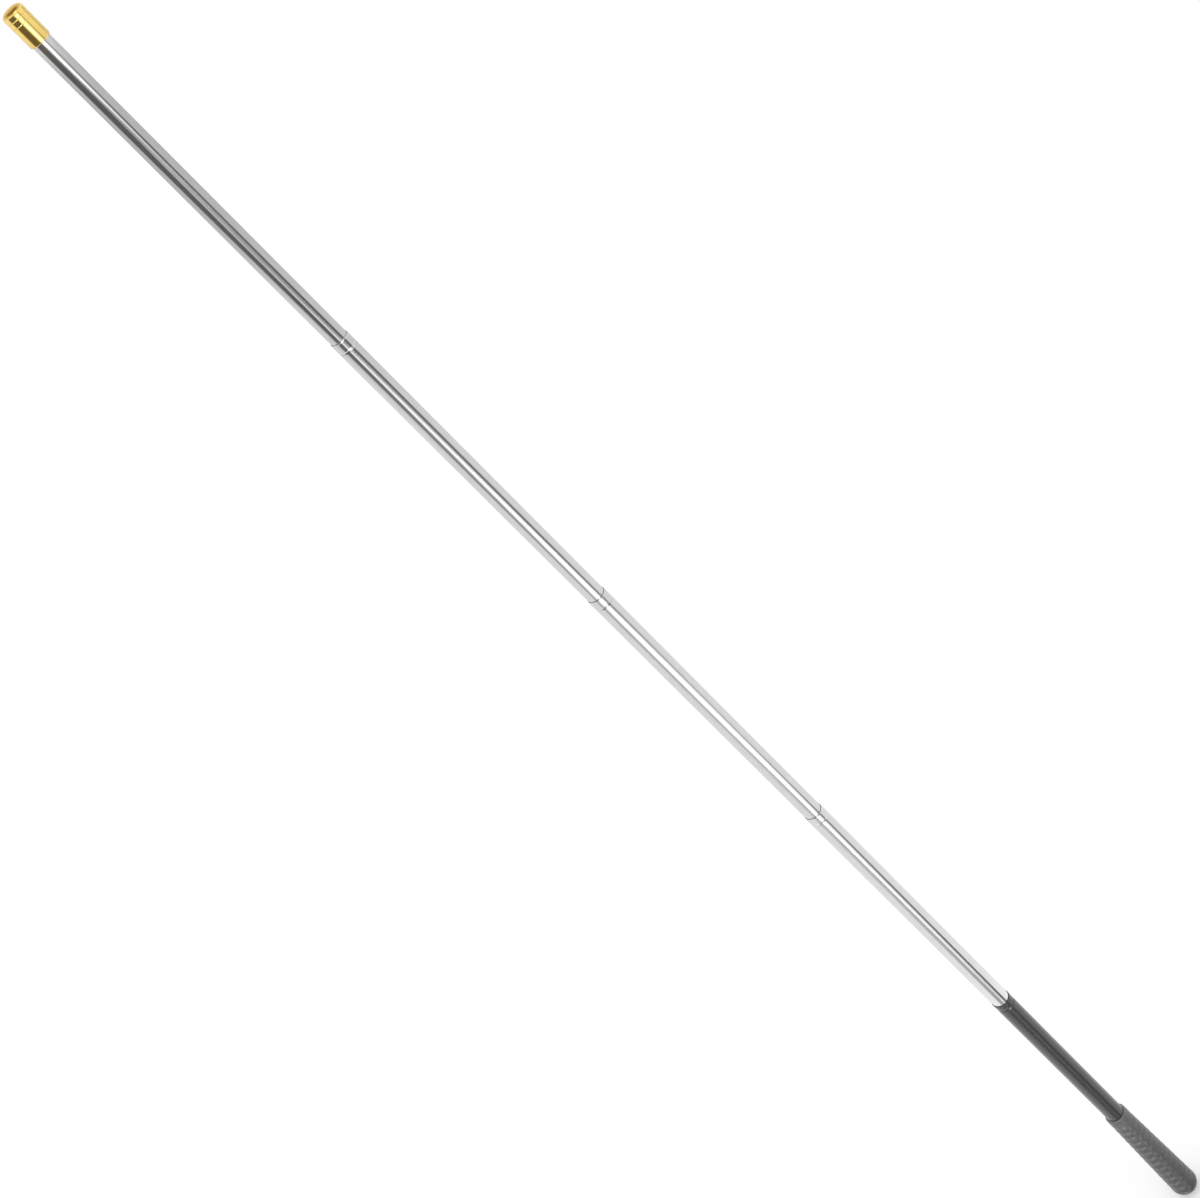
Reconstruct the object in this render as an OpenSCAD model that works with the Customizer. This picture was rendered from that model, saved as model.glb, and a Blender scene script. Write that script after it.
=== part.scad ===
// Telescopic hand pole: four polished tubes that push into a black handle tube.
// The pole stands along +Z, with the middle of its rounded butt at the origin.
// Each sliding tube carries a pair of half-round spring shims between two rolled rings at its foot.
// The groove rolled in below every mouth guides the tube inside it and stops its upper ring.

/* [Tubes] */
// Outside diameter of the tip tube, the thinnest one
tip_tube_d = 15; // [12:0.5:20]
// Thickness of every tube's wall
tube_wall = 0.3; // [0.25:0.05:0.6]
// Space between a tube and the bore that it slides in, on each side
tube_gap = 0.2; // [0.16:0.01:0.4]
// Length of the tip tube that shows, from the cap to the next rim
tip_reach = 301.8; // [150:0.2:400]
// Length of the upper and of the middle tube that shows, from rim to rim
section_reach = 312.4; // [150:0.2:400]
// Length of the lower tube that shows, from rim to rim
lower_reach = 315.8; // [150:0.2:400]
// Thickness of the black coating on the handle tube above the grip's glue groove
coat = 0.05; // [0.03:0.01:0.1]

/* [Mouths] */
// Distance from a rim down to the middle of its rolled groove
groove_setback = 10; // [5:0.5:20]
// Width of the rolled groove
groove_w = 2.4; // [1:0.1:4]
// Radial running clearance of a tube in the groove that guides it
slide_gap = 0.05; // [0.03:0.01:0.08]
// Height of the rolled lip at a rim
lip_h = 0.22; // [0.22:0.01:0.26]
// Width of the rolled lip along the tube
lip_w = 2; // [0.8:0.1:3]

/* [Feet] */
// Width of the rolled rings at a tube's foot
ring_w = 1.4; // [1:0.1:3]
// Radial clearance of those rings in the bore
ring_gap = 0.06; // [0.04:0.01:0.1]
// Length of a spring shim
shim_len = 20; // [10:1:40]
// Radial clearance between a shim and the tube that carries it
shim_seat_gap = 0.02; // [0.01:0.01:0.04]
// Radial clearance between a shim and the bore that it rubs on
shim_bore_gap = 0.04; // [0.02:0.01:0.06]
// Slit between the two shims of a pair
shim_slit = 0.8; // [0.4:0.1:2]
// Play along the tube at the stop and at each end of a shim
end_play = 0.2; // [0.1:0.05:0.5]
// Distance left between a lip and the rim below it when the pole is pushed in
close_gap = 0.3; // [0.2:0.1:2]

/* [End cap] */
// Length of the cap
cap_len = 29.5; // [20:0.1:50]
// Thickness of the cap's side
cap_wall = 1; // [0.6:0.1:3]
// Thickness of the cap's end, with its dome
cap_end = 5.5; // [5.5:0.5:8]
// Height of the cap's domed end
cap_dome = 4.6; // [1:0.1:5]
// Bevel at the cap's open edge
cap_bevel = 0.4; // [0.2:0.1:0.6]
// Distance from the cap's end to the first turned line
cap_line_1 = 7.7; // [6:0.1:9.5]
// Distance from the cap's end to the second turned line
cap_line_2 = 12.1; // [11:0.1:16]
// Width of a turned line
cap_line_w = 0.8; // [0.4:0.1:1.4]
// Depth of a turned line
cap_line_depth = 0.2; // [0.1:0.05:0.5]
// Length of the plug that backs the tube inside the cap
cap_plug_len = 22; // [8:1:40]
// Clearance of pressed pieces, on each side
press_gap = 0.02; // [0.01:0.01:0.05]

/* [Grip] */
// Length of the rubber grip, with its rounded butt
grip_len = 154; // [100:0.1:220]
// Thickness of the rubber at the grip's mouth
grip_mouth_wall = 1.9; // [1:0.1:4]
// Thickness of the rubber where the grip is fattest
grip_butt_wall = 4.7; // [2:0.1:8]
// Thickness of the rubber under the tube's foot
grip_floor = 6; // [5:0.5:20]
// Bevel at the grip's mouth
grip_bevel = 0.5; // [0.2:0.1:0.9]
// Distance between the grip's moulded rings
grip_ring_pitch = 10; // [9:0.5:20]
// Width of the groove between two moulded rings
grip_ring_w = 8; // [2:0.1:8.8]
// Depth of that groove
grip_ring_depth = 0.3; // [0.2:0.05:0.8]
// Width of the shallow groove round the tube at the grip's mouth, which takes the squeezed-out glue
glue_groove_w = 2; // [1:0.1:4]
// Depth of the glue groove
glue_groove_depth = 0.12; // [0.05:0.01:0.15]

/* [Butt] */
// Length of the plug inside the handle tube
butt_plug_len = 9; // [6:1:30]
// Thickness of the plug's flange under the tube
butt_flange = 1.5; // [1:0.5:5]
// Thickness of the soft pad on the plug
pad_len = 4; // [2:0.5:12]
// Space round the pad inside the tube
pad_gap = 0.6; // [0.2:0.1:2]
// Height kept free between the pad and the tubes when they are pushed in
stow_gap = 5.2; // [1:0.1:20]

/* [Hidden] */
$fn = 96;

steel = [0.80, 0.80, 0.79];
black_coating = [0.18, 0.18, 0.18];
rubber = [0.25, 0.25, 0.25];
gold = [0.88, 0.70, 0.34];
bronze = [0.72, 0.47, 0.26];
nylon = [0.90, 0.88, 0.82];

// Straight pieces that draw one rolled ring, and the cap's dome from its edge to its middle
ring_pieces = 6;
dome_pieces = 12;
// Fullness of the cap's dome: 1 is half an ellipse, less is squarer
dome_power = 0.83;
// Amount by which a cutting shape passes the face that it cuts
pass = 1;

// Outside radii, from the tip down to the handle
tube_step = tube_gap + tube_wall;
tip_r = tip_tube_d / 2;
upper_r = tip_r + tube_step;
middle_r = upper_r + tube_step;
lower_r = middle_r + tube_step;
handle_r = lower_r + tube_step;

// Rolled shapes: the groove leaves a running clearance, the foot rings clear the bore
groove_depth = tube_gap - slide_gap;
ring_h = tube_gap - ring_gap;
shim_wall = tube_gap - shim_seat_gap - shim_bore_gap;

// Depth below a rim at which the tube inside it has its stop ring, its shims and its end
stop_depth = groove_setback + groove_w / 2 + end_play;
shim_depth = stop_depth + ring_w + end_play;
foot_depth = shim_depth + shim_len + end_play + ring_w;

// How far the sections slide in, and how far the deepest of them reaches below the handle's rim
stowed_step = lip_w + close_gap;
lower_travel = lower_reach - stowed_step;
section_travel = section_reach - stowed_step;
tip_travel = tip_reach - close_gap;
deepest_push = max(lower_travel, section_travel - stowed_step, tip_travel - 3 * stowed_step);

// Heights, from the butt up
grip_bore_r = handle_r + press_gap;
grip_mouth_r = grip_bore_r + grip_mouth_wall;
grip_butt_r = grip_bore_r + grip_butt_wall;
handle_foot_z = grip_floor + butt_flange;
butt_plug_top_z = handle_foot_z + butt_plug_len;
pad_top_z = butt_plug_top_z + pad_len;
handle_rim_z = pad_top_z + stow_gap + foot_depth + deepest_push;
lower_rim_z = handle_rim_z + lower_reach;
middle_rim_z = lower_rim_z + section_reach;
upper_rim_z = middle_rim_z + section_reach;
cap_base_z = upper_rim_z + tip_reach;
cap_top_z = cap_base_z + cap_len;
tip_top_z = cap_top_z - cap_end;

// Height of a rolled ring above the plain wall at z: one wave of a cosine across its width
function wave(z, middle_z, width, height) =
    abs(z - middle_z) >= width / 2 ? 0 : height * (1 + cos(360 * (z - middle_z) / width)) / 2;

// Heights at which a rolled ring has its corners
function ring_heights(middle_z, width) =
    [for (i = [0:ring_pieces]) middle_z - width / 2 + width * i / ring_pieces];

// Points of a domed end, a little fuller than half an ellipse, from its edge to its middle
function dome_points(radius, base_z, height) =
    [for (i = [0:dome_pieces])
        let (t = 90 * i / dome_pieces)
        [radius * pow(cos(t), dome_power), base_z + height * pow(sin(t), dome_power)]];

function reversed(list) = [for (i = [len(list) - 1:-1:0]) list[i]];

// Foot rings of a sliding tube: one at its end and one above its shims
function foot_middles(foot_z) =
    [foot_z + ring_w / 2, foot_z + ring_w + 2 * end_play + shim_len + ring_w / 2];

// How far the wall stands out of the plain tube at z, with its foot rings and its mouth groove
function wall_shift(z, feet, groove_z) =
    wave(z, feet[0], ring_w, ring_h) + wave(z, feet[1], ring_w, ring_h) - wave(z, groove_z, groove_w, groove_depth);

// A tube with rolled foot rings, a rolled groove below its mouth and a rolled lip at its rim
module rolled_tube(radius, foot_z, rim_z) {
    feet = foot_middles(foot_z);
    groove_z = rim_z - groove_setback;
    lip_z = rim_z - lip_w / 2;
    rings = concat(ring_heights(feet[0], ring_w), ring_heights(feet[1], ring_w));
    mouth = concat(ring_heights(groove_z, groove_w), [rim_z]);
    lip = concat(ring_heights(groove_z, groove_w), ring_heights(lip_z, lip_w));
    outside = [for (z = concat(rings, lip))
        [radius + wall_shift(z, feet, groove_z) + wave(z, lip_z, lip_w, lip_h), z]];
    inside = [for (z = concat(rings, mouth)) [radius - tube_wall + wall_shift(z, feet, groove_z), z]];
    rotate_extrude() polygon(concat(outside, reversed(inside)));
}

// One of the two half-round spring shims round a tube's foot, its middle on the -X or the +X side
module shim(tube_radius, rim_z, side) {
    inner = tube_radius + shim_seat_gap;
    outer = inner + shim_wall;
    bottom_z = rim_z - shim_depth - shim_len;
    color(bronze)
    difference() {
        translate([0, 0, bottom_z]) cylinder(r = outer, h = shim_len);
        translate([0, 0, bottom_z - pass]) cylinder(r = inner, h = shim_len + 2 * pass);
        translate([side > 0 ? shim_slit / 2 - 2 * outer : -shim_slit / 2, -outer, bottom_z - pass])
            cube([2 * outer, 2 * outer, shim_len + 2 * pass]);
    }
}

// Rubber grip: a tapered sleeve with moulded rings and a half-round closed butt
module grip() {
    ring_count = floor((grip_len - grip_butt_r) / grip_ring_pitch);
    slope = (grip_mouth_r - grip_butt_r) / (grip_len - grip_butt_r);
    half_ring = grip_ring_w / 2;
    ring_corners = [for (i = [0:ring_count - 1])
        let (z = grip_butt_r + grip_ring_pitch * (i + 0.5))
        for (corner = [[-half_ring, 0], [0, grip_ring_depth], [half_ring, 0]])
            [grip_butt_r + slope * (z + corner[0] - grip_butt_r) - corner[1], z + corner[0]]];
    sleeve = concat(
        [[0, grip_butt_r], [grip_butt_r, grip_butt_r]],
        [for (corner = ring_corners) if (corner[1] < grip_len - 2 * grip_bevel - half_ring) corner],
        [[grip_mouth_r - slope * grip_bevel, grip_len - grip_bevel],
         [grip_mouth_r - grip_bevel, grip_len], [0, grip_len]]);
    color(rubber)
    difference() {
        union() {
            rotate_extrude() polygon(sleeve);
            difference() {
                translate([0, 0, grip_butt_r]) sphere(r = grip_butt_r);
                translate([-grip_butt_r, -grip_butt_r, grip_butt_r]) cube(2 * grip_butt_r);
            }
        }
        translate([0, 0, grip_floor]) cylinder(r = grip_bore_r, h = grip_len);
    }
}

// Black handle tube: bare under the grip, coated above its glue groove, with a groove and a lip at its mouth
module handle_tube() {
    groove_z = handle_rim_z - groove_setback;
    lip_z = handle_rim_z - lip_w / 2;
    groove = ring_heights(groove_z, groove_w);
    outside = concat(
        [[handle_r, handle_foot_z]],
        [for (z = ring_heights(grip_len, glue_groove_w))
            [handle_r + (z > grip_len ? coat : 0) - wave(z, grip_len, glue_groove_w, glue_groove_depth), z]],
        [for (z = concat(groove, ring_heights(lip_z, lip_w)))
            [handle_r + coat - wave(z, groove_z, groove_w, groove_depth) + wave(z, lip_z, lip_w, lip_h), z]]);
    inside = [for (z = concat([handle_foot_z], groove, [handle_rim_z]))
        [handle_r - tube_wall - wave(z, groove_z, groove_w, groove_depth), z]];
    color(black_coating) rotate_extrude() polygon(concat(outside, reversed(inside)));
}

// Plug that closes the foot of the handle tube, with a flange under the tube's edge
module butt_plug() {
    body_r = handle_r - tube_wall - press_gap;
    color(nylon) {
        translate([0, 0, grip_floor]) cylinder(r = handle_r, h = butt_flange);
        translate([0, 0, handle_foot_z]) cylinder(r = body_r, h = butt_plug_len);
    }
}

// Soft pad on the plug, which the pushed-in tubes land on when the pole is dropped
module bumper_pad() {
    color(rubber)
    translate([0, 0, butt_plug_top_z]) cylinder(r = handle_r - tube_wall - pad_gap, h = pad_len);
}

module lower_shim_left() { shim(lower_r, handle_rim_z, -1); }
module lower_shim_right() { shim(lower_r, handle_rim_z, 1); }
module lower_tube() { color(steel) rolled_tube(lower_r, handle_rim_z - foot_depth, lower_rim_z); }

module middle_shim_left() { shim(middle_r, lower_rim_z, -1); }
module middle_shim_right() { shim(middle_r, lower_rim_z, 1); }
module middle_tube() { color(steel) rolled_tube(middle_r, lower_rim_z - foot_depth, middle_rim_z); }

module upper_shim_left() { shim(upper_r, middle_rim_z, -1); }
module upper_shim_right() { shim(upper_r, middle_rim_z, 1); }
module upper_tube() { color(steel) rolled_tube(upper_r, middle_rim_z - foot_depth, upper_rim_z); }

module tip_shim_left() { shim(tip_r, upper_rim_z, -1); }
module tip_shim_right() { shim(tip_r, upper_rim_z, 1); }

// Tip tube: foot rings like the others, and a plain top that goes up inside the cap
module tip_tube() {
    feet = foot_middles(upper_rim_z - foot_depth);
    rings = concat(ring_heights(feet[0], ring_w), ring_heights(feet[1], ring_w), [tip_top_z]);
    outside = [for (z = rings) [tip_r + wave(z, feet[0], ring_w, ring_h) + wave(z, feet[1], ring_w, ring_h), z]];
    inside = [for (point = outside) [point[0] - tube_wall, point[1]]];
    color(steel) rotate_extrude() polygon(concat(outside, reversed(inside)));
}

// Plug inside the tip tube, which backs the thin wall under the pressed-on cap
module cap_plug() {
    color(nylon)
    translate([0, 0, tip_top_z - cap_plug_len]) cylinder(r = tip_r - tube_wall - press_gap, h = cap_plug_len);
}

// Gold cap: a turned cup with a domed end and two fine turned lines
module end_cap() {
    socket_r = tip_r + press_gap;
    cap_r = socket_r + cap_wall;
    half_line = cap_line_w / 2;
    lines = [for (from_end = [cap_line_2, cap_line_1])
        for (corner = [[-half_line, 0], [0, cap_line_depth], [half_line, 0]])
            [cap_r - corner[1], cap_top_z - from_end + corner[0]]];
    outline = concat(
        [[socket_r, cap_base_z], [cap_r - cap_bevel, cap_base_z], [cap_r, cap_base_z + cap_bevel]],
        lines,
        dome_points(cap_r, cap_top_z - cap_dome, cap_dome),
        [[0, tip_top_z], [socket_r, tip_top_z]]);
    color(gold) rotate_extrude() polygon(outline);
}

grip();
handle_tube();
butt_plug();
bumper_pad();
lower_shim_left();
lower_shim_right();
lower_tube();
middle_shim_left();
middle_shim_right();
middle_tube();
upper_shim_left();
upper_shim_right();
upper_tube();
tip_shim_left();
tip_shim_right();
tip_tube();
cap_plug();
end_cap();
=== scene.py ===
# %% [markdown]
# # A telescopic hand pole
# Four polished steel tubes push into a black handle tube with a rubber grip, and a gold cap closes the thin
# end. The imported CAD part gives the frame: it stands along +Z with the middle of its butt at the origin, in
# metres. Its meshes are exact but coarse, and a polished tube shows every flat, so the seven pieces that
# show are made again here as finer surfaces on the same sizes. The springs and plugs inside stay as they
# are in the CAD part.

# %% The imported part
import math

import bpy
import numpy as np
from mathutils import Matrix, Vector


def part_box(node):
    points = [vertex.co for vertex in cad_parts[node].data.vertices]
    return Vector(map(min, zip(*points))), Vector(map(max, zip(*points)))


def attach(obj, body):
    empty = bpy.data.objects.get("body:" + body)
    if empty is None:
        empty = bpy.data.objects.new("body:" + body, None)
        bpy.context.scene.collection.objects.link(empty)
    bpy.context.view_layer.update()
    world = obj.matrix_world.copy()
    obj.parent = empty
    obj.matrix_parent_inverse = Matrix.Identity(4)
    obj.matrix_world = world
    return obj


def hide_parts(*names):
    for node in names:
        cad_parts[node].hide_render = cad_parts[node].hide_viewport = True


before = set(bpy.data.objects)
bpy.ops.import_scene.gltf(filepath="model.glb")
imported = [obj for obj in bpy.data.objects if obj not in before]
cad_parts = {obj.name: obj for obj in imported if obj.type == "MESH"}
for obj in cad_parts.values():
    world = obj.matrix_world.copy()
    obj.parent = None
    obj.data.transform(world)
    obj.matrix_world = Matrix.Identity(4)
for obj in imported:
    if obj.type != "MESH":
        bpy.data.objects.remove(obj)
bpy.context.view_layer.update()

# %% [markdown]
# ## Camera
# The photograph looks along the pole from near the capped end, about 30 degrees down on a pole that stands
# upright, and is rolled by 45 degrees, so that the pole crosses the picture from corner to corner. The
# sections are nearly equal, which fixes the distance: the far ones look shorter by just as much as a 69 mm
# lens at 1.9 m makes them.

# %% Camera at the photograph's place
CAMERA_PLACE = Vector((0.0, -1.6128, 1.9422))
CAMERA_DIP = math.radians(30.39)
CAMERA_ROLL = math.radians(45.05)
SENSOR_W, LENS = 36.0, 69.0
FARTHEST_SEEN = 200.0

forward = Vector((0, math.cos(CAMERA_DIP), -math.sin(CAMERA_DIP)))
level_up = Vector((0, math.sin(CAMERA_DIP), math.cos(CAMERA_DIP)))
level_right = Vector((1, 0, 0))
right = math.cos(CAMERA_ROLL) * level_right - math.sin(CAMERA_ROLL) * level_up
up = math.sin(CAMERA_ROLL) * level_right + math.cos(CAMERA_ROLL) * level_up

camera_data = bpy.data.cameras.new("camera")
camera_data.sensor_width = SENSOR_W
camera_data.lens = LENS
camera_data.clip_end = FARTHEST_SEEN
camera = bpy.data.objects.new("camera", camera_data)
camera.matrix_world = Matrix.Translation(CAMERA_PLACE) @ Matrix((right, up, -forward)).transposed().to_4x4()
bpy.context.scene.collection.objects.link(camera)
bpy.context.scene.camera = camera
print("camera", round(-CAMERA_PLACE.y / math.cos(CAMERA_DIP), 2), "m from the pole, lens", LENS, "mm")

# %% [markdown]
# ## Colours and nodes
# Colours are written as the hex values that a paint program shows. Blender works with linear light, so one
# function turns them over. A second small function adds a node, sets its properties and links its inputs.

# %% Helpers for colours and nodes
def linear(hex_colour):
    """sRGB hex to linear RGBA: a value up to 0.04045 is divided by 12.92, the others follow a power of 2.4."""
    srgb = np.array([int(hex_colour[i:i + 2], 16) for i in (1, 3, 5)]) / 255
    value = np.where(srgb <= 0.04045, srgb / 12.92, ((srgb + 0.055) / 1.055) ** 2.4)
    return (*value.tolist(), 1.0)


def add(tree, kind, inputs=None, **settings):
    """Adds one node. Settings are its own properties, and inputs gives its sockets a value each, or the
    output that feeds them."""
    node = tree.nodes.new(kind)
    for name, value in settings.items():
        setattr(node, name, value)
    for socket, value in (inputs or {}).items():
        if isinstance(value, bpy.types.NodeSocket):
            tree.links.new(value, node.inputs[socket])
        else:
            node.inputs[socket].default_value = value
    return node


print("white is", linear("#FFFFFF")[:3], "and mid grey", round(linear("#808080")[0], 3))

# %% [markdown]
# ## Studio
# Polished metal has hardly any colour of its own: it shows the room. Product photographers stand such an
# object in a white room, put a long softbox in front of it and hang dark cards beside it, which draw the
# dark lines along a tube. That room is painted in the world shader, by direction: azimuth in degrees round
# the pole from the camera's side, counted up on the camera's left, and dip, the sine of the angle below the
# horizon. A standing tube keeps the dip of the ray that it mirrors, so the cards lie below the horizon, and
# the floor lets mirrored rays through to them. Matte surfaces see an even white room, and the camera sees
# plain white. An image of a studio could do the same, but a list of cards can be read and moved by hand.

# %% The walls and the cards
DOME_LEVEL = 0.94
STRONGEST = 9.0

# The bare walls as (dip, level of light, warmth): bright at the horizon and at their foot, and dark and warm
# under the wooden ceiling
WALLS = [
    (-1.0, 0.24, 0.8), (-0.92, 0.24, 0.8), (-0.82, 0.30, 0.7), (-0.69, 0.64, 0.3), (-0.30, 0.82, 0.0),
    (-0.20, 1.0, 0.0), (0.10, 1.02, 0.0), (0.2005, 1.02, 0.0), (0.2045, 0.60, 0.0), (0.30, 0.63, 0.0),
    (0.40, 0.84, 0.0), (0.50, 0.91, 0.0), (0.60, 0.92, 0.0), (0.69, 1.0, 0.0), (0.71, 1.32, 0.0),
    (0.735, 1.32, 0.0), (0.765, 1.06, 0.0)]

# A card is a hanging strip with a name, an edge softness in degrees and a list of stops down its length,
# each as (dip, azimuth, half width in degrees, level of light). Each card lies over the ones before it.
CARDS = [
    ("back ceiling, right", 10, [(-0.97, -180, 35, 0.42), (-0.60, -180, 35, 0.78)]),
    ("back ceiling, left", 10, [(-0.97, 180, 35, 0.42), (-0.60, 180, 35, 0.78)]),
    ("far right wall", 10, [(0.10, -116, 18, 0.66), (0.2005, -116, 18, 0.66), (0.2045, -116, -20, 0.66)]),
    ("far left wall", 12, [(0.33, 115, 20, 0.84), (0.42, 115, 20, 0.95)]),
    ("left card's blurred edge", 9, [(0.206, 16, 14, 0.33), (0.25, 14, 16, 0.31)]),
    ("softbox", 6, [
        (-0.05, -20, 12, 0.95), (0.165, -18, 12, 1.0), (0.187, -8, 12, 3.4), (0.201, -7.5, 12, 3.4),
        (0.206, -8.5, 10.5, 1.6), (0.2145, -9, 9, 1.38), (0.228, -14, 7, 1.40), (0.25, -19.5, 3.5, 1.2),
        (0.272, -7, 8, 0.40), (0.358, -8, 9, 0.30), (0.372, -8, 9, 0.52), (0.397, -8, 10, 0.66),
        (0.42, -4, 13, 0.90), (0.44, 5, 14.5, 1.3), (0.47, 4.5, 18, 1.36), (0.50, 2.5, 20, 1.36),
        (0.541, 0, 23, 1.36), (0.5767, -2.5, 23.5, 1.36), (0.609, -6.5, 19.5, 1.36),
        (0.6254, -6.5, 18.5, 1.33), (0.638, -2, 11.5, 1.36), (0.656, -1.5, 9, 1.42), (0.6706, -1, 7, 1.38),
        (0.6845, 1, 6, 0.95), (0.69, 4, 6.5, 0.95), (0.72, 4, 10, 0.95), (0.80, 4, 10, 0.40)]),
    ("softbox's lamp", 4, [(0.50, 3, 8, 9.0), (0.59, -1, 9, 9.0)]),
    ("softbox edge", 5, [
        (0.30, 4, 9, 0.46), (0.326, 6, 8, 0.55), (0.346, 8, 6.5, 0.67), (0.358, 9, 6.5, 1.0),
        (0.374, 9, 8, 1.22), (0.385, 9, 9, 1.30), (0.41, 7, 11, 1.32), (0.44, 7, 14, 1.36)]),
    ("left card", 7, [
        (-0.03, 46, 33, 0.10), (0.19, 47, 33, 0.16), (0.2015, 47, 33, 0.19), (0.2045, 49, 31, 0.12),
        (0.25, 49, 30, 0.13), (0.283, 49, 28, 0.14), (0.31, 47, 25, 0.14), (0.345, 42, 22, 0.14),
        (0.38, 37, 19, 0.18), (0.44, 41, 16, 0.38), (0.50, 44, 7, 0.41), (0.57, 38, 14, 0.70),
        (0.64, 29, 14, 0.59), (0.69, 27, 19, 0.54), (0.71, 26, 21, 0.35)]),
    ("left card's dark edge", 5, [(0.335, 31, 6, 0.09), (0.36, 31, 6, 0.09), (0.385, 31, 5, 0.15)]),
    ("right card", 5, [
        (0.03, -39, 4, 0.35), (0.20, -39, 3, 0.22), (0.225, -34, 8, 0.20), (0.25, -31.5, 11, 0.12),
        (0.283, -33, 12, 0.21), (0.345, -33, 15, 0.13), (0.374, -36, 15, 0.17), (0.42, -34, 16, 0.24),
        (0.49, -35, 13, 0.27), (0.535, -43, 9, 0.54), (0.575, -42, 7, 0.66), (0.61, -42, 9, 0.30),
        (0.65, -36, 12, 0.20), (0.6845, -30, 12, 0.17), (0.72, -20, 17, 0.15)]),
    ("side light", 8, [(-0.60, 45, 30, 0.95), (-0.36, 45, 30, 0.95)]),
    ("dull floor, right", 15, [(0.76, -95, 55, 0.80), (1.0, -95, 55, 0.80)]),
    ("bright floor", 8, [(0.85, 48, 26, 6.6), (0.89, 48, 26, 6.6), (0.915, 48, -16, 6.6)]),
    ("back card, right", 5, [(0.0, -163, 7, 0.20), (1.0, -163, 7, 0.30)]),
    ("back card, left", 5, [(0.0, 163, 7, 0.20), (1.0, 163, 7, 0.30)]),
]

# The top of the left card's stand is wood like the ceiling, and its level here is its warmth
WOODEN_STAND = ("wooden stand", 6, [
    (0.192, 48, -12, 1.0), (0.195, 48, 28, 1.0), (0.2015, 48, 28, 1.0), (0.2045, 48, -12, 1.0)])
WARM = "#FFDA95"
print("walls with", len(WALLS), "stops,", len(CARDS), "cards with", sum(len(card[2]) for card in CARDS))

# %% [markdown]
# A colour ramp can hold three numbers at once, one in each of its channels, so one ramp along the dip
# carries the azimuth, half width and level of a card from stop to stop. A card is then the mask between its
# two edges.

# %% One card in the room
AZIMUTHS, HALF_WIDTHS, LEVELS = (-180, 180), (-20, 80), (0, STRONGEST)
CARD_END = 0.02
FLOOR_DIP = 0.7


def ramp_down(tree, dip, stops):
    """Three numbers that follow the dip: a colour ramp carries them, each as a share from 0 to 1, from stop
    to stop. A new ramp has two stops already."""
    place = add(tree, "ShaderNodeMapRange", {"Value": dip, "From Min": -1.0, "From Max": 1.0}).outputs[0]
    ramp = add(tree, "ShaderNodeValToRGB", {0: place})
    elements = ramp.color_ramp.elements
    for i, (stop_dip, *shares) in enumerate(stops):
        element = elements[i] if i < 2 else elements.new(1.0)
        element.position = (stop_dip + 1) / 2
        element.color = (*shares, 1)
    return add(tree, "ShaderNodeSeparateColor", {0: ramp.outputs["Color"]}).outputs


def lay_card(tree, light, azimuth, dip, name, edge, stops):
    """Lays one card over the light so far. Azimuth, half width and level run straight from stop to stop. Past
    its ends the half width drops to two edges below nothing, but a card that reaches the floor runs on down.
    The mask falls smoothly from 1 to 0 across the card's edges."""
    first_dip, first_azimuth, _, first_level = stops[0]
    last_dip, last_azimuth, _, last_level = stops[-1]
    ended = [(first_dip - CARD_END, first_azimuth, -2 * edge, first_level), *stops]
    if last_dip < FLOOR_DIP:
        ended.append((last_dip + CARD_END, last_azimuth, -2 * edge, last_level))
    ranges = [AZIMUTHS, HALF_WIDTHS, LEVELS]
    shares = ramp_down(tree, dip, [
        (stop_dip, *[(value - low) / (high - low) for value, (low, high) in zip(values, ranges)])
        for stop_dip, *values in ended])
    middle, half, level = [
        add(tree, "ShaderNodeMapRange", {"Value": shares[i], "To Min": low, "To Max": high}).outputs[0]
        for i, (low, high) in enumerate(ranges)]
    offset = add(tree, "ShaderNodeMath", {0: azimuth, 1: middle}, operation="SUBTRACT").outputs[0]
    offset = add(tree, "ShaderNodeMath", {0: offset}, operation="ABSOLUTE").outputs[0]
    outside = add(tree, "ShaderNodeMath", {0: offset, 1: half}, operation="SUBTRACT").outputs[0]
    mask = add(tree, "ShaderNodeMapRange", {"Value": outside, "From Min": edge, "From Max": -edge},
               interpolation_type="SMOOTHSTEP").outputs[0]
    laid = add(tree, "ShaderNodeMix", {0: mask, 2: light, 3: level}, data_type="FLOAT", label=name)
    return laid.outputs[0]


print("a card ends within a dip of", CARD_END, "and runs on past a dip of", FLOOR_DIP)

# %% [markdown]
# The world shader works out azimuth and dip from the direction of a ray, starts with the walls and lays
# card over card. Only mirrored rays get that room: the Light Path node tells them from the others. Mirrored
# rays find the bright cards by themselves, so Cycles needn't sample the room as a lamp.

# %% The room as a world shader
world = bpy.data.worlds.new("studio")
bpy.context.scene.world = world
world.use_nodes = True
world.cycles.sampling_method = "NONE"
tree = world.node_tree
tree.nodes.clear()

direction = add(tree, "ShaderNodeSeparateXYZ", {0: add(tree, "ShaderNodeTexCoord").outputs["Generated"]})
minus_x, minus_y, dip = [
    add(tree, "ShaderNodeMath", {0: direction.outputs[axis], 1: -1.0}, operation="MULTIPLY").outputs[0]
    for axis in "XYZ"]
azimuth = add(tree, "ShaderNodeMath", {0: minus_x, 1: minus_y}, operation="ARCTAN2").outputs[0]
azimuth = add(tree, "ShaderNodeMath", {0: azimuth}, operation="DEGREES").outputs[0]

walls = ramp_down(tree, dip, [(wall_dip, level / STRONGEST, warmth, 0) for wall_dip, level, warmth in WALLS])
light = add(tree, "ShaderNodeMath", {0: walls[0], 1: STRONGEST}, operation="MULTIPLY").outputs[0]
for card in CARDS:
    light = lay_card(tree, light, azimuth, dip, *card)
warmth = lay_card(tree, walls[1], azimuth, dip, *WOODEN_STAND)

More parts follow.
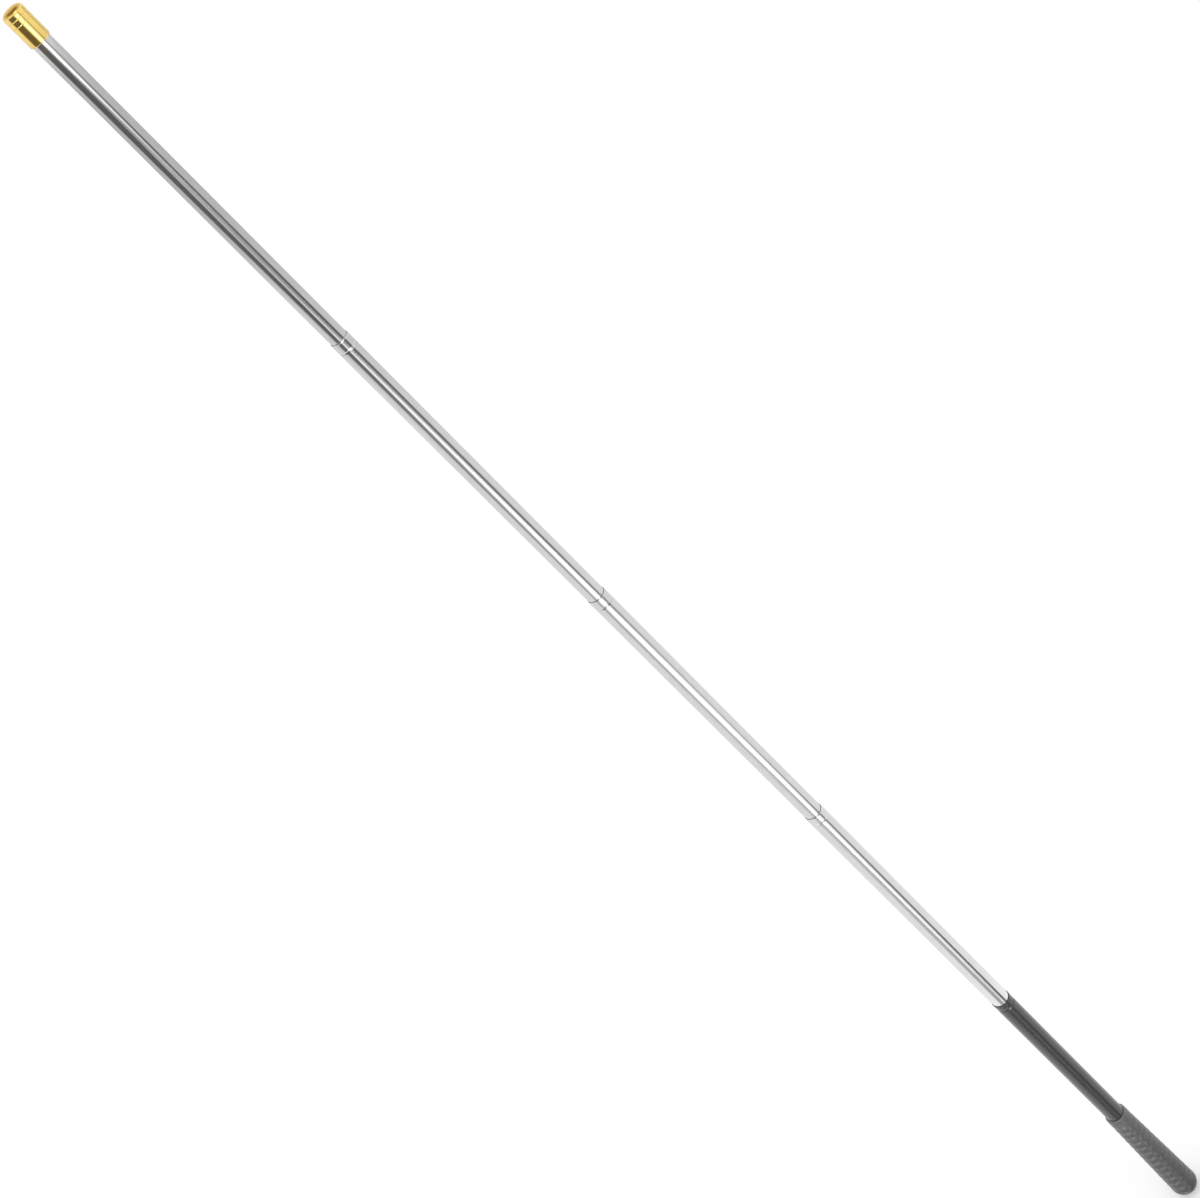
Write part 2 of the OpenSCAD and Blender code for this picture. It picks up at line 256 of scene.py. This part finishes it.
rays = add(tree, "ShaderNodeLightPath").outputs
mirrored = rays["Is Glossy Ray"]
seen = add(tree, "ShaderNodeMath", {0: rays["Is Camera Ray"], 1: rays["Is Transmission Ray"]},
           operation="MAXIMUM").outputs[0]
light = add(tree, "ShaderNodeMix", {0: mirrored, 2: DOME_LEVEL, 3: light}, data_type="FLOAT").outputs[0]
light = add(tree, "ShaderNodeMix", {0: seen, 2: light, 3: 1.0}, data_type="FLOAT").outputs[0]
warmth = add(tree, "ShaderNodeMath", {0: warmth, 1: mirrored}, operation="MULTIPLY").outputs[0]
hue = add(tree, "ShaderNodeMix", {0: warmth, 6: linear("#FFFFFF"), 7: linear(WARM)}, data_type="RGBA")
background = add(tree, "ShaderNodeBackground", {"Color": hue.outputs[2], "Strength": light})
add(tree, "ShaderNodeOutputWorld", {"Surface": background.outputs[0]})
print("studio:", len(CARDS), "cards,", len(tree.nodes), "nodes")

# %% [markdown]
# ## Floor and lamp
# The floor is a wide matte white sheet just under the butt. A little light of its own for the camera alone
# lifts it to the white of the picture, and it still takes the soft shadow round the butt. One large, weak
# lamp above the camera's shoulder gives the rounded edges a highlight and a direction to the light.

# %% Floor
FLOOR_HALF = 30.0
FLOOR_DROP = 0.0002
FLOOR_LIFT = 0.25

floor_mesh = bpy.data.meshes.new("floor")
corners = FLOOR_HALF * np.array([(-1, -1), (1, -1), (1, 1), (-1, 1)])
floor_mesh.from_pydata(np.column_stack((corners, np.full(4, -FLOOR_DROP))).tolist(), [], [(0, 1, 2, 3)])
floor = bpy.data.objects.new("floor", floor_mesh)
bpy.context.scene.collection.objects.link(floor)
floor.visible_glossy = False

paper = bpy.data.materials.new("matte white paper")
paper.use_nodes = True
tree = paper.node_tree
tree.nodes.clear()
matte = add(tree, "ShaderNodeBsdfDiffuse", {"Color": linear("#E8E8E8")}).outputs[0]
seen = add(tree, "ShaderNodeLightPath").outputs["Is Camera Ray"]
lift = add(tree, "ShaderNodeMath", {0: seen, 1: FLOOR_LIFT}, operation="MULTIPLY").outputs[0]
glow = add(tree, "ShaderNodeEmission", {"Color": linear("#FFFFFF"), "Strength": lift}).outputs[0]
both = add(tree, "ShaderNodeAddShader", {0: matte, 1: glow})
add(tree, "ShaderNodeOutputMaterial", {"Surface": both.outputs[0]})
floor_mesh.materials.append(paper)
print("floor", 2 * FLOOR_HALF, "m wide")

# %% Lamp
LAMP_PLACE = Vector((0.9, -2.4, 3.2))
LAMP_TARGET = Vector((0, 0, 0.9))
LAMP_W, LAMP_H, LAMP_POWER = 1.6, 1.0, 9.0

lamp_data = bpy.data.lights.new("soft key", "AREA")
lamp_data.shape = "RECTANGLE"
lamp_data.size = LAMP_W
lamp_data.size_y = LAMP_H
lamp_data.energy = LAMP_POWER
lamp = bpy.data.objects.new("soft key", lamp_data)
lamp.matrix_world = (Matrix.Translation(LAMP_PLACE)
                     @ (LAMP_TARGET - LAMP_PLACE).to_track_quat("-Z", "Y").to_matrix().to_4x4())
bpy.context.scene.collection.objects.link(lamp)
bpy.context.scene.view_settings.view_transform = "Standard"
print("lamp", LAMP_POWER, "W,", round((LAMP_TARGET - LAMP_PLACE).length, 2), "m away")

# %% [markdown]
# ## Finishes
# Each finish starts from the real material and how its surface was made. The patterns read Object
# coordinates, which are metres on the object itself, so a scale of 1 / 0.0008 makes marks 0.8 mm wide.
# Marks finer than a picture element are drawn a little coarser than they are, so that they still break up
# the reflections.

# %% From marks to a material
MM = 0.001
NOISE_LOW, NOISE_HIGH = 0.3, 0.7


def start_finish(name):
    """A new material with an empty node tree. Returns the material, the tree and its Object coordinates."""
    material = bpy.data.materials.new(name)
    material.use_nodes = True
    tree = material.node_tree
    tree.nodes.clear()
    return material, tree, add(tree, "ShaderNodeTexCoord").outputs["Object"]


def end_finish(tree, sockets):
    """The Principled shader, with its own sockets set or linked, as the material's surface."""
    shader = add(tree, "ShaderNodeBsdfPrincipled", sockets)
    add(tree, "ShaderNodeOutputMaterial", {"Surface": shader.outputs[0]})


def grain(tree, place, size_mm, detail=2.0):
    """Noise whose marks measure size_mm along X, Y and Z: the coordinates are divided by that size."""
    scale = tuple(1 / (MM * size) for size in size_mm)
    mapped = add(tree, "ShaderNodeMapping", {"Vector": place, "Scale": scale}).outputs[0]
    return add(tree, "ShaderNodeTexNoise", {"Vector": mapped, "Scale": 1.0, "Detail": detail}).outputs[0]


def between(tree, marks, first, second):
    """A number or a hex colour that goes from first to second across the middle of a noise, 0.3 to 0.7."""
    middle = {"Value": marks, "From Min": NOISE_LOW, "From Max": NOISE_HIGH}
    if not isinstance(first, str):
        return add(tree, "ShaderNodeMapRange", {**middle, "To Min": first, "To Max": second}).outputs[0]
    share = add(tree, "ShaderNodeMapRange", middle).outputs[0]
    colours = {6: linear(first), 7: linear(second)}
    return add(tree, "ShaderNodeMix", {0: share, **colours}, data_type="RGBA").outputs[2]


print("one metre in object coordinates is", 1 / MM, "mm")

# %% [markdown]
# ### Polished stainless steel
# The tubes are drawn through a die and then buffed. Drawing leaves very fine lines along the tube, and
# buffing closes them to a mirror that is a little cloudy in places. It could be a plain mirror, but the
# cloudiness is what tells steel from chrome, so a fine noise stretched along the tube moves the roughness,
# and a patchy one the colour.

# %% Polished drawn stainless steel
steel, tree, place = start_finish("polished drawn stainless steel")
draw_lines = grain(tree, place, (0.8, 0.8, 60.0))
patches = grain(tree, place, (5.0, 5.0, 9.0))
relief = add(tree, "ShaderNodeBump", {"Height": draw_lines, "Distance": 0.004 * MM, "Strength": 0.2})
end_finish(tree, {
    "Base Color": between(tree, patches, "#DADADA", "#E0E0E0"),
    "Metallic": 1.0,
    "Roughness": between(tree, draw_lines, 0.07, 0.12),
    "Normal": relief.outputs[0]})
print(steel.name)

# %% [markdown]
# ### Gold-plated brass
# The cap is turned from brass and gold plated. The tool leaves rings round it, much finer than a hair, that
# the plating follows. A noise stretched round the cap and very short along it stands for them, coarse
# enough to show.

# %% Gold-plated turned brass
gold, tree, place = start_finish("gold-plated turned brass")
tool_rings = grain(tree, place, (40.0, 40.0, 0.5))
patches = grain(tree, place, (4.0, 4.0, 4.0))
relief = add(tree, "ShaderNodeBump", {"Height": tool_rings, "Distance": 0.003 * MM, "Strength": 0.2})
end_finish(tree, {
    "Base Color": between(tree, patches, "#F7D57B", "#F9DB85"),
    "Metallic": 1.0,
    "Roughness": between(tree, tool_rings, 0.05, 0.09),
    "Normal": relief.outputs[0]})
print(gold.name)

# %% [markdown]
# ### Black paint
# The handle tube is sprayed with a satin black paint. A paint film is a dull colour under a clear skin, so
# it is not a metal here: it mirrors the room weakly in front and strongly at its edges. Its skin, the
# shader's coat, does all the mirroring, and dries with a slight orange peel.

# %% Satin black paint
black, tree, place = start_finish("satin black paint on steel")
peel = grain(tree, place, (1.2, 1.2, 1.6))
dust = grain(tree, place, (3.0, 3.0, 14.0), detail=4.0)
relief = add(tree, "ShaderNodeBump", {"Height": peel, "Distance": 0.012 * MM, "Strength": 0.3})
end_finish(tree, {
    "Base Color": between(tree, dust, "#383838", "#3E3E3E"),
    "Roughness": between(tree, peel, 0.38, 0.46),
    "Specular IOR Level": 0.0,
    "Coat Weight": 1.0,
    "Coat IOR": 1.6,
    "Coat Roughness": 0.18,
    "Normal": relief.outputs[0]})
print(black.name)

# %% [markdown]
# ### Moulded rubber
# The grip is moulded in one piece from black rubber, which looks dark grey because its surface is matte and
# carries a little bloom and dust in patches. The mould's sand-blasted grain scatters light, so it is rough.
# Its colour is paler towards the mouth, and much paler on the mouth's edge, which is a painted highlight
# that lifts the shade in the crease where the rubber meets the tube. That follows the shape, so it is read
# from an attribute of the mesh.

# %% Moulded matte rubber
rubber, tree, place = start_finish("moulded matte rubber")
mould_grain = grain(tree, place, (0.7, 0.7, 0.7), detail=3.0)
bloom = grain(tree, place, (2.5, 2.5, 3.5), detail=3.0)
# The attribute mixes towards a paler colour: gradually along the grip towards the mouth, and far paler on the
# mouth's edge as painted light over the crease's shade
paling_and_painted_edge_light = add(tree, "ShaderNodeAttribute", attribute_name="paling_and_painted_edge_light").outputs["Fac"]
darker_rubber = between(tree, bloom, "#404040", "#4E4E4E")
paler_rubber = between(tree, bloom, "#595959", "#676767")
colour = add(tree, "ShaderNodeMix", {0: paling_and_painted_edge_light, 6: darker_rubber, 7: paler_rubber}, data_type="RGBA", clamp_factor=False)
relief = add(tree, "ShaderNodeBump", {"Height": mould_grain, "Distance": 0.05 * MM, "Strength": 0.4})
end_finish(tree, {
    "Base Color": colour.outputs[2],
    "Roughness": between(tree, mould_grain, 0.34, 0.40),
    "IOR": 1.5,
    "Normal": relief.outputs[0]})
print(rubber.name)

# %% [markdown]
# ### Inside pieces
# The shims are cut from phosphor bronze strip, the plugs are moulded nylon and the pad is soft rubber. They
# show only when the pole is taken apart, and still get their own finish: rolling lines, a faint mould grain
# and a dull skin. Their CAD meshes are good as they are, so these finishes go straight onto the CAD nodes.

# %% Bronze strip, nylon and pad rubber
bronze, tree, place = start_finish("rolled phosphor bronze strip")
roll_lines = grain(tree, place, (20.0, 20.0, 0.6))
end_finish(tree, {
    "Base Color": between(tree, roll_lines, "#B9835A", "#C79468"),
    "Metallic": 1.0,
    "Roughness": between(tree, roll_lines, 0.22, 0.34)})

nylon, tree, place = start_finish("moulded nylon")
mould_grain = grain(tree, place, (1.0, 1.0, 1.0))
relief = add(tree, "ShaderNodeBump", {"Height": mould_grain, "Distance": 0.02 * MM, "Strength": 0.2})
end_finish(tree, {
    "Base Color": between(tree, mould_grain, "#E3DFD3", "#EAE6DB"),
    "Roughness": between(tree, mould_grain, 0.42, 0.52),
    "IOR": 1.53,
    "Normal": relief.outputs[0]})

soft, tree, place = start_finish("soft pad rubber")
skin = grain(tree, place, (0.8, 0.8, 0.8), detail=3.0)
relief = add(tree, "ShaderNodeBump", {"Height": skin, "Distance": 0.03 * MM, "Strength": 0.3})
end_finish(tree, {
    "Base Color": between(tree, skin, "#2B2B2B", "#333333"),
    "Roughness": between(tree, skin, 0.7, 0.85),
    "IOR": 1.5,
    "Normal": relief.outputs[0]})

INSIDE = [("shim", bronze), ("plug", nylon), ("pad", soft)]
for node_name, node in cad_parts.items():
    for word, material in INSIDE:
        if word in node_name:
            node.data.materials.clear()
            node.data.materials.append(material)
            print(node_name, "is", material.name)

# %% [markdown]
# ## Turned surfaces
# Every piece that shows is round, so each is one profile carried once round the axis. Blender's Screw
# modifier or a spin would do that too, but a grid of points worked out at once leaves the poles and seams
# under control. A profile is a list of rows (radius, height) with the solid on its left: up the outside and
# down the inside. A profile that starts and ends on the axis closes in two poles, and any other closes on
# itself.

# %% A profile carried round the axis
ROUND = 192
SHARP_EDGE = math.radians(40)


def turn(name, profile):
    """Surface of revolution: the point of row i and column j is (r cos a, r sin a, z), with r and z from
    row i of the profile and a = 2 pi j / ROUND."""
    profile = np.asarray(profile, float)
    poles = profile[0, 0] == 0 and profile[-1, 0] == 0
    rows = profile[1:-1] if poles else profile
    angle = 2 * np.pi * np.arange(ROUND) / ROUND
    radius, height = np.broadcast_to(rows.T[:, :, None], (2, len(rows), ROUND))
    points = np.stack((radius * np.cos(angle), radius * np.sin(angle), height), axis=-1).reshape(-1, 3)
    index = np.arange(len(points)).reshape(len(rows), ROUND)
    beside = np.roll(index, -1, axis=1)
    above, above_beside = np.roll(index, -1, axis=0), np.roll(beside, -1, axis=0)
    quads = np.stack((index, beside, above_beside, above), axis=-1)
    faces = (quads[:-1] if poles else quads).reshape(-1, 4).tolist()
    if poles:
        first, last = np.full(ROUND, len(points)), np.full(ROUND, len(points) + 1)
        points = np.vstack((points, (0, 0, profile[0, 1]), (0, 0, profile[-1, 1])))
        faces += np.column_stack((first, beside[0], index[0])).tolist()
        faces += np.column_stack((index[-1], beside[-1], last)).tolist()
    mesh = bpy.data.meshes.new(name)
    mesh.from_pydata((points * MM).tolist(), [], faces)
    mesh.polygons.foreach_set("use_smooth", np.ones(len(mesh.polygons), bool))
    mesh.set_sharp_from_angle(angle=SHARP_EDGE)
    mesh.update()
    piece = bpy.data.objects.new(name, mesh)
    bpy.context.scene.collection.objects.link(piece)
    print(name, len(mesh.vertices), "points,", len(mesh.polygons), "faces")
    return piece


def dress(piece, node_name, body, material):
    """Gives a piece its finish and its body, and hides the CAD node that it stands for."""
    piece.data.materials.append(material)
    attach(piece, body)
    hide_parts(node_name)


print("one turn has", ROUND, "columns, one every", 360 / ROUND, "degrees")

# %% [markdown]
# ## The steel tubes
# Each sliding tube is drawn steel 0.3 mm thick. Two rings are rolled out at its foot, with the spring shims
# between them, a groove is rolled in below its mouth, which guides the next tube and stops its ring, and
# the mouth ends in a small rolled lip. A roller leaves a soft wave in the metal, so each ring and groove is
# one wave of a cosine. A mirror shows the smallest kink, so the rows lie close across each wave and beside
# it.

# %% Waves in a wall
TUBE_WALL = 0.3
RING_W, RING_H, RING_SPACING = 1.4, 0.14, 21.8
ROW_STEP = 12.0
WAVE_ROWS = np.linspace(-0.5, 0.5, 17)
PLAIN_ROWS = (-0.8, -0.6, 0.6, 0.8)


def wave(z, middle, width, height):
    """One wave of a cosine, height (1 + cos(2 pi (z - middle) / width)) / 2 within half a width of the
    middle, and nothing past that."""
    inside = np.abs(z - middle) < width / 2
    return np.where(inside, height * (1 + np.cos(2 * np.pi * (z - middle) / width)) / 2, 0.0)


def rows_over(start, end, *rings):
    """Heights from start to end: a coarse row every few millimetres, 16 steps across each (middle, width)
    ring, and two plain rows on each side of it, which keep the bend of its edge out of the wall beside it."""
    coarse = np.linspace(start, end, max(2, int((end - start) / ROW_STEP)))
    steps = np.concatenate((WAVE_ROWS, PLAIN_ROWS))
    fine = [middle + width * steps for middle, width in rings]
    heights = np.unique(np.round(np.concatenate([coarse, *fine]), 4))
    return heights[(heights >= start) & (heights <= end)]


def foot_rings(foot_z):
    """Heights of the two rings at a tube's foot: one that ends at the foot, and one a spacing above it."""
    return foot_z + RING_W / 2, foot_z + RING_W / 2 + RING_SPACING


print("each wave has", len(WAVE_ROWS), "rows and", len(PLAIN_ROWS), "plain ones beside it")

# %% A rolled tube's profile
GROOVE_SETBACK, GROOVE_W, GROOVE_DEPTH = 10.0, 2.4, 0.11
LIP_W, LIP_H = 1.3, 0.06
RIM_ROUND = 0.08
RIM_ANGLES = np.radians([30, 60, 90])


def tube_profile(radius, foot_z, rim_z, rings_z=(), coat=0.0,
                 setback=GROOVE_SETBACK, groove_w=GROOVE_W, groove_depth=GROOVE_DEPTH):
    """Closed profile of a rolled tube. The wall at height z stands out by the waves of its foot rings, less
    the wave of its groove, which is never deeper in the bore than a bare tube's. The outside adds the lip's
    wave and the coat, and the rim's two edges are rounded."""
    groove_z, lip_z = rim_z - setback, rim_z - LIP_W / 2
    rings = [(z, RING_W) for z in rings_z]

    def shift(z, depth):
        out = sum(wave(z, ring_z, RING_W, RING_H) for ring_z in rings_z)
        return out - wave(z, groove_z, groove_w, depth)

    top = rim_z - RIM_ROUND
    out_z = rows_over(foot_z, top, (groove_z, groove_w), (lip_z, LIP_W), *rings)
    in_z = rows_over(foot_z, top, (groove_z, groove_w), *rings)
    out_r = radius + coat + shift(out_z, groove_depth) + wave(out_z, lip_z, LIP_W, LIP_H)
    in_r = radius - TUBE_WALL + shift(in_z, min(groove_depth, GROOVE_DEPTH))
    edge_in, edge_z = RIM_ROUND * (1 - np.cos(RIM_ANGLES)), top + RIM_ROUND * np.sin(RIM_ANGLES)
    outside = np.vstack((np.column_stack((out_r, out_z)), np.column_stack((out_r[-1] - edge_in, edge_z))))
    inside = np.vstack((np.column_stack((in_r, in_z)), np.column_stack((in_r[-1] + edge_in, edge_z))))
    return np.vstack((outside, inside[::-1]))


print("rim", TUBE_WALL, "mm thick with edges rounded by", RIM_ROUND, "mm")

# %% Lower, middle and upper tube
SLIDING = [("lower", 9.0), ("middle", 8.5), ("upper", 8.0)]
for section, radius in SLIDING:
    node_name = section + "_tube"
    low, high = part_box(node_name)
    foot_z, rim_z = low.z / MM, high.z / MM
    piece = turn(section + "_tube_polished", tube_profile(radius, foot_z, rim_z, foot_rings(foot_z)))
    dress(piece, node_name, section + "_section", steel)

# %% [markdown]
# The tip tube has the same foot, but its top is plain, because it ends inside the cap.

# %% Tip tube
TIP_R = 7.5

low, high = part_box("tip_tube")
foot_z, top_z = low.z / MM, high.z / MM
rings_z = foot_rings(foot_z)
tip_z = rows_over(foot_z, top_z, *[(z, RING_W) for z in rings_z])
tip_r = TIP_R + sum(wave(tip_z, z, RING_W, RING_H) for z in rings_z)
outside = np.column_stack((tip_r, tip_z))
inside = np.column_stack((tip_r - TUBE_WALL, tip_z))
piece = turn("tip_tube_polished", np.vstack((outside, inside[::-1])))
dress(piece, "tip_tube", "tip_section", steel)

# %% [markdown]
# ## Handle tube
# The thickest tube doesn't slide. It is bare under the grip and painted above it. Paint fills the corners
# of the groove below its mouth, so that it looks wider and softer than the bare tubes' grooves, and lies a
# little nearer to the mouth. A shallow groove at the grip's mouth takes the squeezed-out glue. Seen from
# outside that groove is the thin dark line where paint meets rubber.

# %% Painted handle tube
HANDLE_R = 9.5
COAT = 0.05
PAINTED_SETBACK, PAINTED_GROOVE_W, PAINTED_GROOVE_DEPTH = 7.8, 6.0, 0.2
GLUE_W, GLUE_DEPTH = 2.0, 0.05
GRIP_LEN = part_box("grip")[1].z / MM

low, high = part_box("handle_tube")
profile = tube_profile(HANDLE_R, low.z / MM, high.z / MM, coat=COAT,
                       setback=PAINTED_SETBACK, groove_w=PAINTED_GROOVE_W, groove_depth=PAINTED_GROOVE_DEPTH)
glue_z = GRIP_LEN + GLUE_W * WAVE_ROWS
rim_row = int(np.argmax(profile[:, 1]))
outside, rest = profile[:rim_row], profile[rim_row:]
outside = outside[(outside[:, 1] < glue_z[0]) | (outside[:, 1] > glue_z[-1])]
outside = np.vstack((outside, np.column_stack((np.full(len(glue_z), HANDLE_R + COAT), glue_z))))
outside = outside[np.argsort(outside[:, 1], kind="stable")]
bare = outside[:, 1] <= GRIP_LEN
outside[:, 0] -= np.where(bare, COAT, 0.0) + wave(outside[:, 1], GRIP_LEN, GLUE_W, GLUE_DEPTH)
piece = turn("handle_tube_painted", np.vstack((outside, rest)))
dress(piece, "handle_tube", "handle", black)

# %% [markdown]
# ## End cap
# The cap is turned from one bar: a bevel at its open edge, two fine lines near its end and a low dome, in
# section a little fuller than half an ellipse. The dome mirrors the dark ceiling, and fine lines on a
# mirror catch light from other parts of the room, which is why they shine across the dark reflection.

# %% Turned cap
CAP_R, SOCKET_R = 8.52, 7.52
CAP_BEVEL, CAP_DOME, CAP_END = 0.4, 4.6, 5.5
DOME_POWER = 0.83
DOME_ROWS = 49
DOME_FOOT_W = 0.5
CAP_LINES = (12.1, 7.7)
CAP_LINE_W, CAP_LINE_DEPTH = 0.8, 0.13

low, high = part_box("end_cap")
base_z, top_z = low.z / MM, high.z / MM
lines_z = [top_z - line for line in CAP_LINES]
side_bends = [(z, CAP_LINE_W) for z in lines_z] + [(top_z - CAP_DOME, DOME_FOOT_W)]
side_z = rows_over(base_z + CAP_BEVEL, top_z - CAP_DOME, *side_bends)
side_r = CAP_R - sum(wave(side_z, z, CAP_LINE_W, CAP_LINE_DEPTH) for z in lines_z)
dome_angle = np.radians(np.linspace(0, 90, DOME_ROWS)[1:-1])
dome = np.column_stack((CAP_R * np.cos(dome_angle) ** DOME_POWER,
                        top_z - CAP_DOME * (1 - np.sin(dome_angle) ** DOME_POWER)))
socket_z = top_z - CAP_END
cap_profile = np.vstack((
    [(0, socket_z), (SOCKET_R, socket_z), (SOCKET_R, base_z), (CAP_R - CAP_BEVEL, base_z)],
    np.column_stack((side_r, side_z)), dome, [(0, top_z)]))
piece = turn("end_cap_turned", cap_profile)
dress(piece, "end_cap", "tip_section", gold)

# %% [markdown]
# ## Grip
# The rubber grip is a sleeve that gets thicker towards its half-round butt. Soft rings are moulded round it
# every 10 mm, with a wide shallow groove between them that gets shallower towards the butt. They could be
# cut as separate grooves, but a mould leaves one running wave, so the radius is the taper or the
# half-round, less a wave of a cosine for each groove.

# %% The grip's profile
GRIP_BORE_R, GRIP_MOUTH_R, GRIP_BUTT_R = 9.52, 11.42, 14.22
GRIP_FLOOR, GRIP_BEVEL = 6.0, 0.6
GRIP_ROW = 0.5
BUTT_ROWS, BEVEL_ROWS = 41, 7

butt_angle = np.radians(np.linspace(0, 90, BUTT_ROWS))
butt = np.column_stack((GRIP_BUTT_R * np.sin(butt_angle), GRIP_BUTT_R * (1 - np.cos(butt_angle))))
sleeve_z = np.arange(GRIP_BUTT_R + GRIP_ROW, GRIP_LEN - GRIP_BEVEL, GRIP_ROW)
slope = (GRIP_MOUTH_R - GRIP_BUTT_R) / (GRIP_LEN - GRIP_BUTT_R)
sleeve = np.column_stack((GRIP_BUTT_R + slope * (sleeve_z - GRIP_BUTT_R), sleeve_z))
bevel_angle = np.radians(np.linspace(0, 90, BEVEL_ROWS))
bevel = np.column_stack((GRIP_MOUTH_R - GRIP_BEVEL * (1 - np.cos(bevel_angle)),
                         GRIP_LEN - GRIP_BEVEL * (1 - np.sin(bevel_angle))))
inside = np.array([(GRIP_BORE_R, GRIP_LEN), (GRIP_BORE_R, GRIP_FLOOR), (0, GRIP_FLOOR)])
grip_profile = np.vstack((butt, sleeve, bevel, inside))
print("grip", round(GRIP_LEN, 1), "mm long,", len(grip_profile), "rows")

# %% Moulded grip with its rings
GRIP_RING_PITCH, GRIP_RING_W = 10.0, 10.0
BUTT_RING_DEPTH, MOUTH_RING_DEPTH = 0.22, 0.32
# Paler colour along the grip, the painted highlight on the mouth's edge, and the value at the two poles
PALING_ALONG, PAINTED_EDGE_LIGHT, PALING_AT_POLES = 0.95, 3.5, 0.2

ring_count = int((GRIP_LEN - GRIP_BUTT_R) / GRIP_RING_PITCH)
rings_z = GRIP_BUTT_R + GRIP_RING_PITCH * (np.arange(ring_count) + 0.5)
rings_depth = np.linspace(BUTT_RING_DEPTH, MOUTH_RING_DEPTH, ring_count)
ringed = grip_profile[1:len(butt) + len(sleeve)]
ringed[:, 0] -= wave(ringed[:, 1:], rings_z, GRIP_RING_W, rings_depth).sum(axis=1)
piece = turn("grip_moulded", grip_profile)

row_z = grip_profile[1:-1, 1:]
past_sleeve = np.arange(len(row_z))[:, None] - len(ringed)
# Paler towards the mouth along the sleeve, and far paler across the bevel: painted light that lifts the shade
# where rubber meets tube
paling_and_painted_edge_light = PALING_ALONG * row_z / GRIP_LEN + PAINTED_EDGE_LIGHT * np.clip(past_sleeve / len(bevel), 0, 1)
paling_and_painted_edge_light = np.append(np.broadcast_to(paling_and_painted_edge_light, (len(row_z), ROUND)).reshape(-1), (PALING_AT_POLES, PALING_AT_POLES))
piece.data.attributes.new("paling_and_painted_edge_light", "FLOAT", "POINT").data.foreach_set("value", paling_and_painted_edge_light.astype(np.float32))
dress(piece, "grip", "handle", rubber)
print(ring_count, "rings, worn from", round(paling_and_painted_edge_light.min(), 2), "to", round(paling_and_painted_edge_light.max(), 2))
